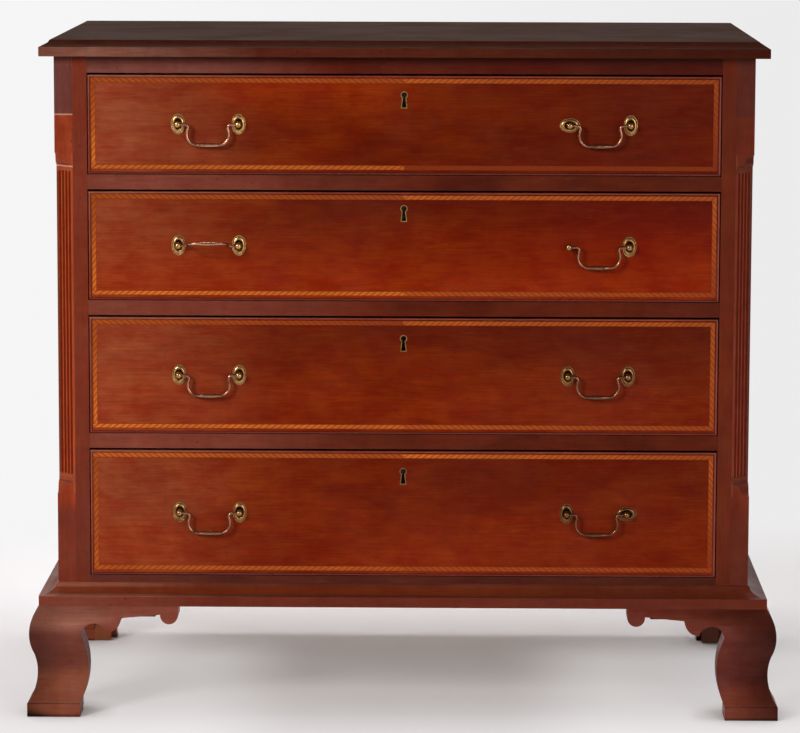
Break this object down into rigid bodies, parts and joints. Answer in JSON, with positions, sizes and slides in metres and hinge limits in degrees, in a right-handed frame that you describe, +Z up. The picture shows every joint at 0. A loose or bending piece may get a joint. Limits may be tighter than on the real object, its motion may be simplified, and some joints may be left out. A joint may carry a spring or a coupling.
{
  "type": "block front chest",
  "caption": "Chest of graduated drawers with flat cock-beaded fronts, rope inlay, bail pulls, fluted canted corners and ogee bracket feet.",
  "frame": {"origin": "on the floor, under the middle of the chest's bounding box at rest", "axes": "+X to the right as seen from the front, +Y from the front to the back, +Z up"},
  "size_m": [1.0026, 0.5612, 0.9017],
  "materials": {
    "top_wood": "old shellac, dull",
    "case_wood": "old shellac, satin",
    "front_wood": "old shellac, satin",
    "foot_wood": "old shellac, satin",
    "inlay_wood": "old shellac, satin",
    "secondary_wood": "bare, aged",
    "lock_iron": "worn",
    "brass": "aged, unlacquered"
  },
  "bodies": {
    "case": {"top_board": "top_wood", "case_side_left": "case_wood", "case_side_right": "case_wood", "corner_post_left": "case_wood", "corner_post_right": "case_wood", "front_stiles": "case_wood", "bottom_rail": "case_wood", "drawer_rails": "case_wood", "top_rail": "case_wood", "case_bottom": "secondary_wood", "back_boards": "secondary_wood", "runners_and_kickers": "secondary_wood", "drawer_guides": "secondary_wood", "drawer_stops": "secondary_wood", "base_moulding": "foot_wood", "front_foot_left": "foot_wood", "front_foot_right": "foot_wood", "rear_foot_left": "foot_wood", "rear_foot_right": "foot_wood", "foot_blocks": "secondary_wood"},
    "drawer_1": {"drawer_1_front": "front_wood", "drawer_1_cock_bead": "front_wood", "drawer_1_inlay": "inlay_wood", "drawer_1_box": "secondary_wood", "drawer_1_bottom": "secondary_wood", "drawer_1_lock": "lock_iron", "drawer_1_brasses": "brass"},
    "drawer_1_left_bail": {"drawer_1_bail_left": "brass"},
    "drawer_1_right_bail": {"drawer_1_bail_right": "brass"},
    "drawer_1_lock_bolt_body": {"drawer_1_lock_bolt": "brass"},
    "drawer_2": {"drawer_2_front": "front_wood", "drawer_2_cock_bead": "front_wood", "drawer_2_inlay": "inlay_wood", "drawer_2_box": "secondary_wood", "drawer_2_bottom": "secondary_wood", "drawer_2_lock": "lock_iron", "drawer_2_brasses": "brass"},
    "drawer_2_left_bail": {"drawer_2_bail_left": "brass"},
    "drawer_2_right_bail": {"drawer_2_bail_right": "brass"},
    "drawer_2_lock_bolt_body": {"drawer_2_lock_bolt": "brass"},
    "drawer_3": {"drawer_3_front": "front_wood", "drawer_3_cock_bead": "front_wood", "drawer_3_inlay": "inlay_wood", "drawer_3_box": "secondary_wood", "drawer_3_bottom": "secondary_wood", "drawer_3_lock": "lock_iron", "drawer_3_brasses": "brass"},
    "drawer_3_left_bail": {"drawer_3_bail_left": "brass"},
    "drawer_3_right_bail": {"drawer_3_bail_right": "brass"},
    "drawer_3_lock_bolt_body": {"drawer_3_lock_bolt": "brass"},
    "drawer_4": {"drawer_4_front": "front_wood", "drawer_4_cock_bead": "front_wood", "drawer_4_inlay": "inlay_wood", "drawer_4_box": "secondary_wood", "drawer_4_bottom": "secondary_wood", "drawer_4_lock": "lock_iron", "drawer_4_brasses": "brass"},
    "drawer_4_left_bail": {"drawer_4_bail_left": "brass"},
    "drawer_4_right_bail": {"drawer_4_bail_right": "brass"},
    "drawer_4_lock_bolt_body": {"drawer_4_lock_bolt": "brass"}
  },
  "joints": [
    {"name": "drawer_1_slide", "type": "slide", "parent": "case", "child": "drawer_1", "axis": [0, -1, 0], "range_m": [0, 0.36]},
    {"name": "drawer_1_left_bail_swing", "type": "hinge", "parent": "drawer_1", "child": "drawer_1_left_bail", "pos_m": [-0.2584, -0.25, 0.79095], "axis": [-1, 0, 0], "range_deg": [-11, 190]},
    {"name": "drawer_1_right_bail_swing", "type": "hinge", "parent": "drawer_1", "child": "drawer_1_right_bail", "pos_m": [0.2584, -0.25, 0.79095], "axis": [-1, 0, 0], "range_deg": [-11, 190]},
    {"name": "drawer_1_bolt_throw", "type": "slide", "parent": "drawer_1", "child": "drawer_1_lock_bolt_body", "axis": [0, 0, 1], "range_m": [0, 0.008]},
    {"name": "drawer_2_slide", "type": "slide", "parent": "case", "child": "drawer_2", "axis": [0, -1, 0], "range_m": [0, 0.36]},
    {"name": "drawer_2_left_bail_swing", "type": "hinge", "parent": "drawer_2", "child": "drawer_2_left_bail", "pos_m": [-0.2584, -0.25, 0.6303], "axis": [-1, 0, 0], "range_deg": [-113, 88]},
    {"name": "drawer_2_right_bail_swing", "type": "hinge", "parent": "drawer_2", "child": "drawer_2_right_bail", "pos_m": [0.2584, -0.25, 0.6303], "axis": [-1, 0, 0], "range_deg": [-11, 190]},
    {"name": "drawer_2_bolt_throw", "type": "slide", "parent": "drawer_2", "child": "drawer_2_lock_bolt_body", "axis": [0, 0, 1], "range_m": [0, 0.008]},
    {"name": "drawer_3_slide", "type": "slide", "parent": "case", "child": "drawer_3", "axis": [0, -1, 0], "range_m": [0, 0.36]},
    {"name": "drawer_3_left_bail_swing", "type": "hinge", "parent": "drawer_3", "child": "drawer_3_left_bail", "pos_m": [-0.2584, -0.25, 0.45725], "axis": [-1, 0, 0], "range_deg": [-11, 190]},
    {"name": "drawer_3_right_bail_swing", "type": "hinge", "parent": "drawer_3", "child": "drawer_3_right_bail", "pos_m": [0.2584, -0.25, 0.45725], "axis": [-1, 0, 0], "range_deg": [-11, 190]},
    {"name": "drawer_3_bolt_throw", "type": "slide", "parent": "drawer_3", "child": "drawer_3_lock_bolt_body", "axis": [0, 0, 1], "range_m": [0, 0.008]},
    {"name": "drawer_4_slide", "type": "slide", "parent": "case", "child": "drawer_4", "axis": [0, -1, 0], "range_m": [0, 0.36]},
    {"name": "drawer_4_left_bail_swing", "type": "hinge", "parent": "drawer_4", "child": "drawer_4_left_bail", "pos_m": [-0.2584, -0.25, 0.2719], "axis": [-1, 0, 0], "range_deg": [-11, 190]},
    {"name": "drawer_4_right_bail_swing", "type": "hinge", "parent": "drawer_4", "child": "drawer_4_right_bail", "pos_m": [0.2584, -0.25, 0.2719], "axis": [-1, 0, 0], "range_deg": [-11, 190]},
    {"name": "drawer_4_bolt_throw", "type": "slide", "parent": "drawer_4", "child": "drawer_4_lock_bolt_body", "axis": [0, 0, 1], "range_m": [0, 0.008]}
  ]
}
